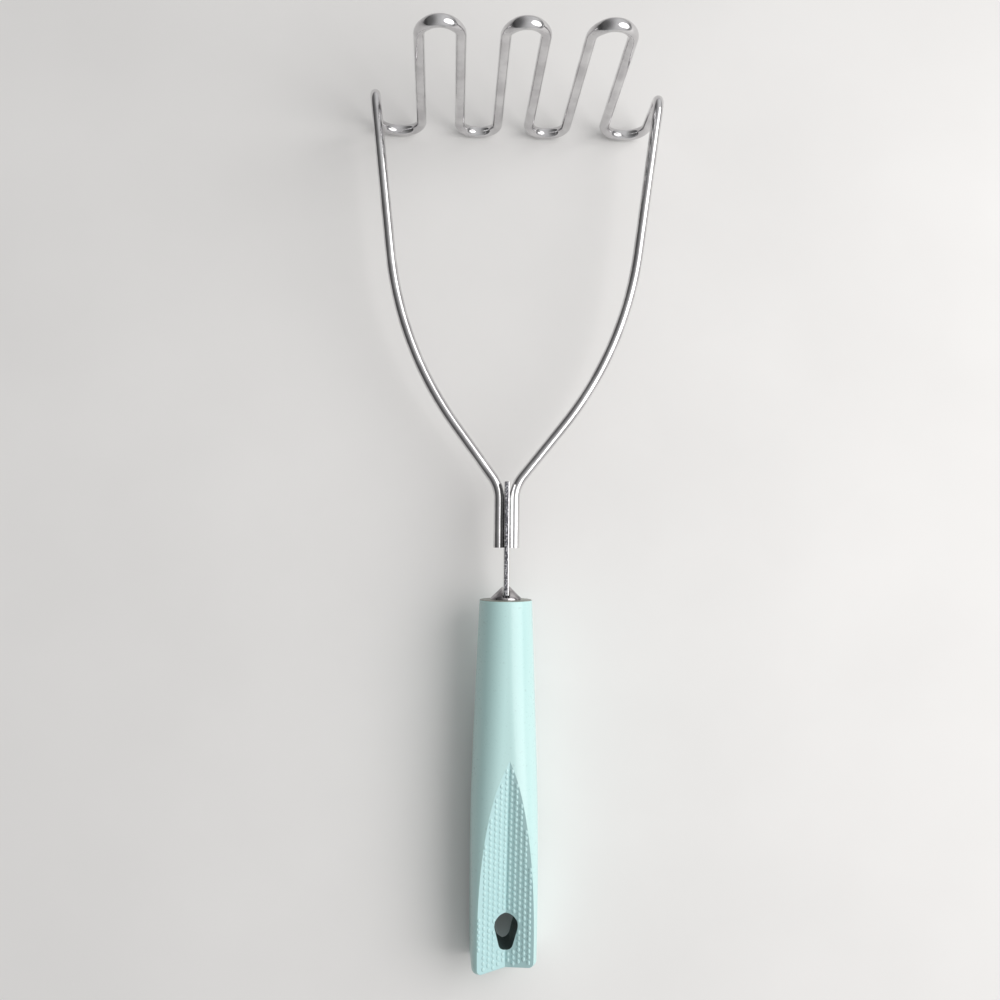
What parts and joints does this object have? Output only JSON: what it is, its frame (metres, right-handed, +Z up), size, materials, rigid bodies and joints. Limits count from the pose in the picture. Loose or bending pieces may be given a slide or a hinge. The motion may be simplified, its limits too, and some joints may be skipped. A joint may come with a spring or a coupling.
{
  "type": "potato masher",
  "caption": "Wire potato masher: a folded wire head on two arms, joined by a flat shank to a moulded plastic grip with a hanging hole.",
  "frame": {"origin": "centre of the bounding box's footprint, on the surface the tool lies on", "axes": "+Z up, +Y along the tool from the handle to the mashing head, +X to the right seen from the handle"},
  "size_m": [0.0879, 0.2603, 0.0673],
  "materials": {
    "wire_metal": "bright nickel-chrome plate, lightly marked by use",
    "shank_metal": "bright flat faces, sheared edges dull and rough",
    "cap_metal": "bright pressed metal",
    "handle_plastic": "pale aqua, glossy, with rows of fine beads moulded into the hollows"
  },
  "bodies": {
    "root": {"masher_wire": "wire_metal", "shank": "shank_metal", "shank_cap": "cap_metal", "handle": "handle_plastic"}
  },
  "joints": []
}
